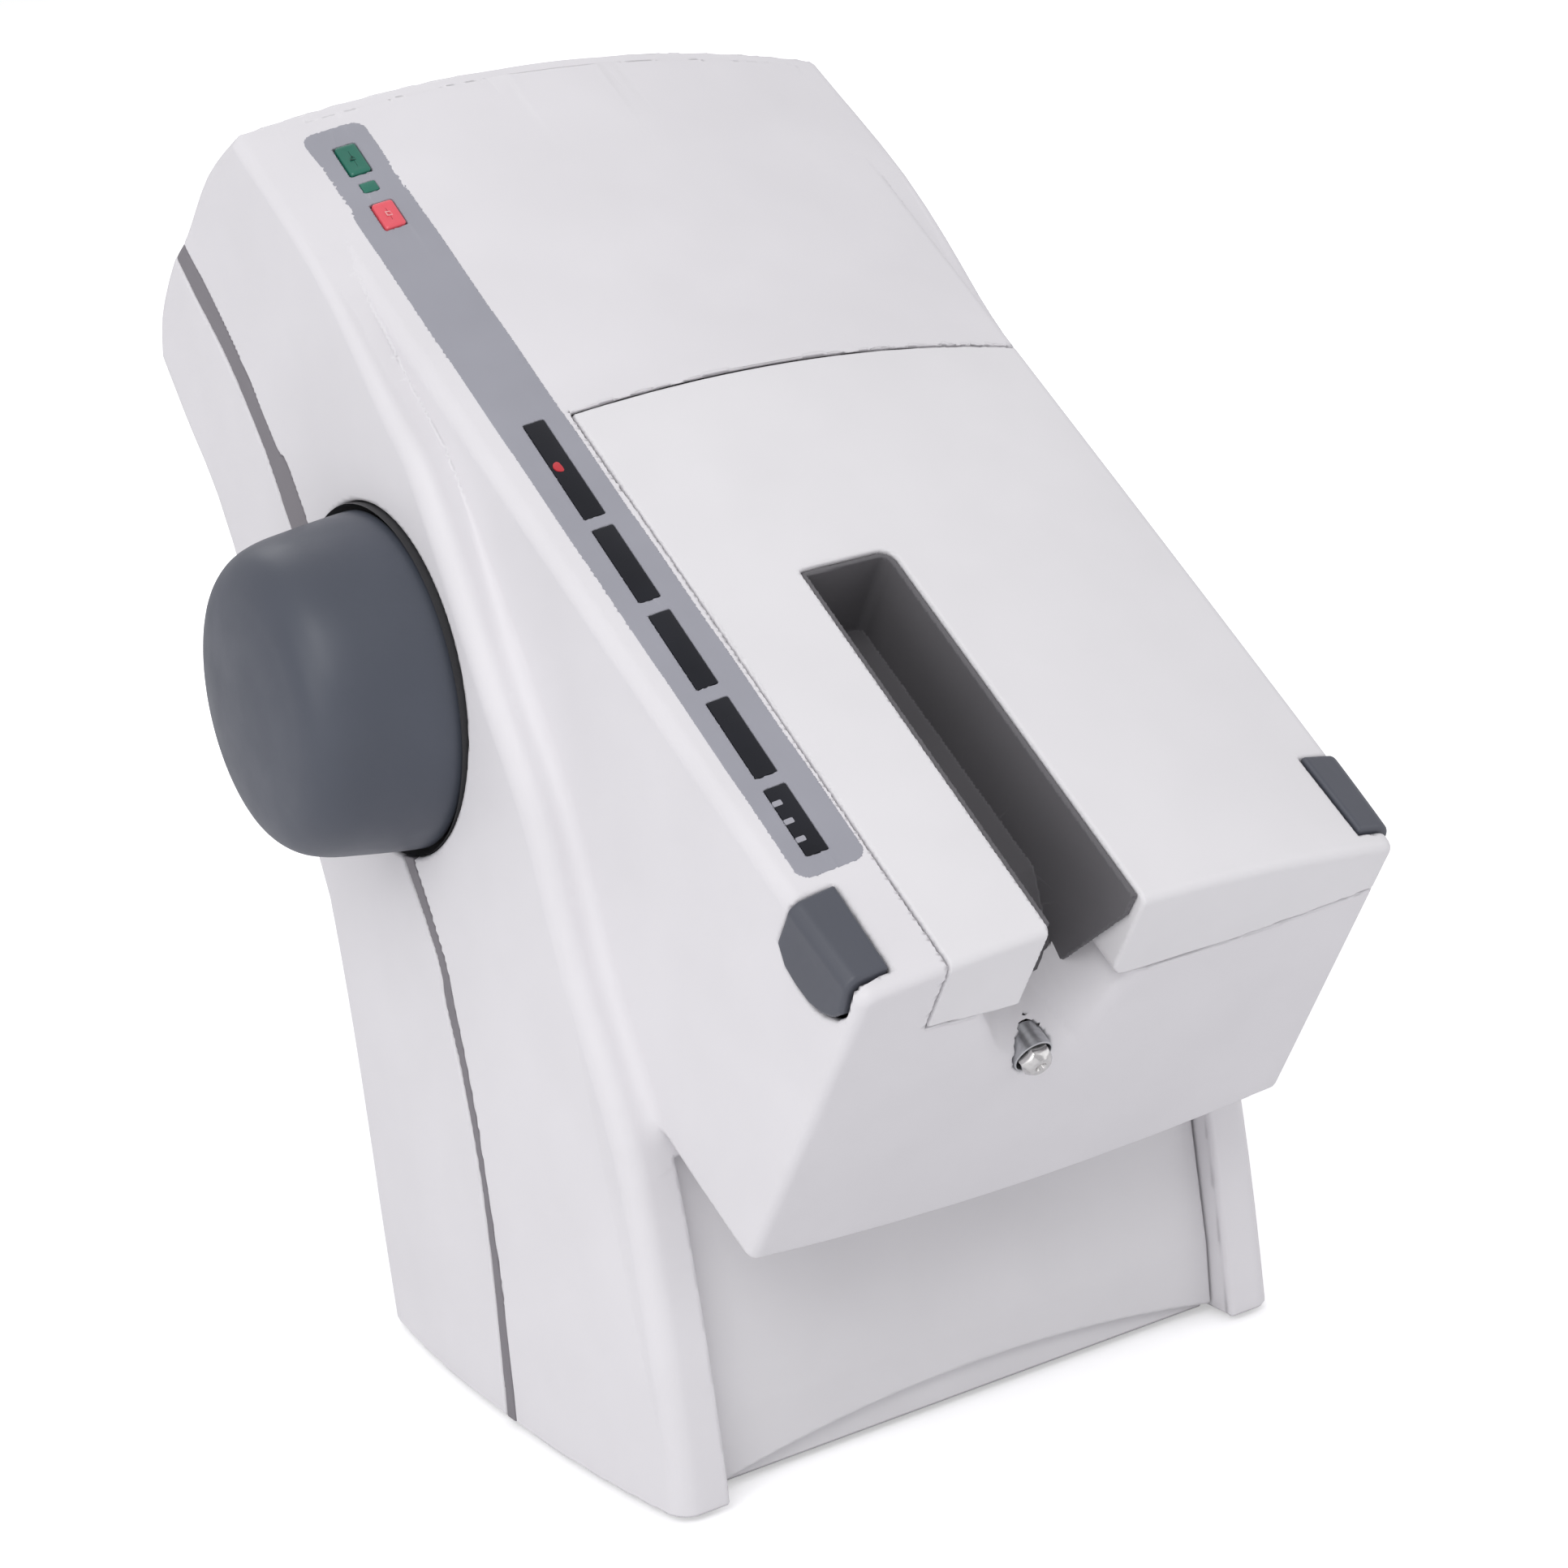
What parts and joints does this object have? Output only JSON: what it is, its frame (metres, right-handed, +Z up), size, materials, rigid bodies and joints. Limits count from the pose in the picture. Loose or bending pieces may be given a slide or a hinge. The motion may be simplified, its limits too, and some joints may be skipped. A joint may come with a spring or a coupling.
{
  "type": "desktop impression material mixing unit",
  "caption": "Bench mixer for dental impression material: sloped cartridge head with flap and tip slot, side handwheel driving plungers, motor-driven mixing shaft.",
  "frame": {"origin": "middle of the footprint of the bounding box, on the surface the feet stand on", "axes": "+X to the machine's right seen from the front, +Y to its back, +Z up"},
  "size_m": [0.2373, 0.3409, 0.3521],
  "materials": {
    "housing_white": "fine satin moulded finish",
    "dark_plastic": "soft matt blue-grey",
    "bay_plastic": "matt dark grey",
    "strip_film": "satin grey film",
    "trim_plastic": "matt mid grey",
    "window_film": "glossy smoked",
    "key_green": "satin green",
    "key_red": "satin red",
    "bright_steel": "machined",
    "foot_rubber": "matt",
    "black_plastic": "matt",
    "supply_case": "sheet",
    "gear_nylon": "satin",
    "board_laminate": "satin"
  },
  "bodies": {
    "cabinet": {"base_plate": "bright_steel", "base_screw_front_left": "bright_steel", "base_screw_front_right": "bright_steel", "base_screw_rear_left": "bright_steel", "base_screw_rear_right": "bright_steel", "cartridge_cradle": "bay_plastic", "control_board": "board_laminate", "control_strip": "strip_film", "foot_front_left": "foot_rubber", "foot_front_right": "foot_rubber", "foot_rear_left": "foot_rubber", "foot_rear_right": "foot_rubber", "front_housing": "housing_white", "front_panel": "housing_white", "gear_frame": "bright_steel", "hinge_block_left": "housing_white", "hinge_block_right": "housing_white", "hinge_pin_left": "bright_steel", "hinge_pin_right": "bright_steel", "lever_pin_left": "bright_steel", "lever_pin_right": "bright_steel", "mains_inlet": "black_plastic", "motor": "bright_steel", "motor_bracket": "bright_steel", "nozzle_trough": "housing_white", "power_supply": "supply_case", "rear_housing": "housing_white", "seam_trim": "trim_plastic", "seam_trim_lower": "trim_plastic", "shaft_bearing": "black_plastic", "status_lens": "key_green", "switch_frame": "black_plastic", "vent_grille": "black_plastic", "wheel_bearing": "black_plastic", "wheel_well": "dark_plastic", "window_1": "window_film", "window_2": "window_film", "window_3": "window_film", "window_4": "window_film", "window_5": "window_film"},
    "flap": {"flap": "housing_white"},
    "lever_left": {"lever_left": "dark_plastic"},
    "lever_right": {"lever_right": "dark_plastic"},
    "start_key": {"start_key": "key_green"},
    "stop_key": {"stop_key": "key_red"},
    "handwheel": {"handwheel": "dark_plastic", "wheel_hub": "bright_steel", "wheel_shaft": "bright_steel", "base_pinion": "bright_steel", "catalyst_pinion": "bright_steel"},
    "base_plunger": {"base_plunger": "bay_plastic"},
    "catalyst_plunger": {"catalyst_plunger": "bay_plastic"},
    "mixing_shaft": {"drive_shaft": "bright_steel", "drive_gear": "gear_nylon"},
    "motor_shaft": {"motor_pinion": "bright_steel"},
    "power_switch": {"power_switch": "black_plastic"}
  },
  "joints": [
    {"name": "flap_hinge", "type": "hinge", "parent": "cabinet", "child": "flap", "pos_m": [0.01733, -0.0238, 0.25226], "axis": [-1, 0, 0], "range_deg": [0, 75]},
    {"name": "lever_left_press", "type": "hinge", "parent": "cabinet", "child": "lever_left", "pos_m": [-0.05117, -0.14852, 0.16329], "axis": [0, -0.8111, -0.585], "range_deg": [0, 4], "stiffness_Nm_per_rad": 0.3, "springref_deg": -5.73},
    {"name": "lever_right_press", "type": "hinge", "parent": "cabinet", "child": "lever_right", "pos_m": [0.08583, -0.14852, 0.16329], "axis": [0, 0.8111, 0.585], "range_deg": [0, 4], "stiffness_Nm_per_rad": 0.3, "springref_deg": -5.73},
    {"name": "start_key_press", "type": "slide", "parent": "cabinet", "child": "start_key", "axis": [0, 0.585, -0.8111], "range_m": [0, 0.0008], "stiffness_N_per_m": 400, "springref_m": -0.0008},
    {"name": "stop_key_press", "type": "slide", "parent": "cabinet", "child": "stop_key", "axis": [0, 0.585, -0.8111], "range_m": [0, 0.0008], "stiffness_N_per_m": 400, "springref_m": -0.0008},
    {"name": "handwheel_turn", "type": "hinge", "parent": "cabinet", "child": "handwheel", "pos_m": [0.01733, 0.0318, 0.2015], "axis": [1, 0, 0], "range_deg": [0, 320]},
    {"name": "base_plunger_feed", "type": "slide", "parent": "cabinet", "child": "base_plunger", "axis": [0, -0.8111, -0.585], "range_m": [0, 0.085]},
    {"name": "catalyst_plunger_feed", "type": "slide", "parent": "cabinet", "child": "catalyst_plunger", "axis": [0, -0.8111, -0.585], "range_m": [0, 0.085]},
    {"name": "mixing_shaft_spin", "type": "hinge", "parent": "cabinet", "child": "mixing_shaft", "pos_m": [0.00113, -0.06018, 0.17757], "axis": [0, 0.8111, 0.585], "continuous": true},
    {"name": "motor_shaft_spin", "type": "hinge", "parent": "cabinet", "child": "motor_shaft", "pos_m": [0.00113, 0.04976, 0.22172], "axis": [0, 0.8111, 0.585], "continuous": true},
    {"name": "power_switch_rock", "type": "hinge", "parent": "cabinet", "child": "power_switch", "pos_m": [-0.03667, 0.084, 0.031], "axis": [1, 0, 0], "range_deg": [-14, 0]}
  ],
  "couplings": [
    {"joint": "base_plunger_feed", "follows": "handwheel_turn", "m_per_rad": 0.015},
    {"joint": "catalyst_plunger_feed", "follows": "handwheel_turn", "m_per_rad": 0.015},
    {"joint": "motor_shaft_spin", "follows": "mixing_shaft_spin", "ratio": -2.1667}
  ]
}
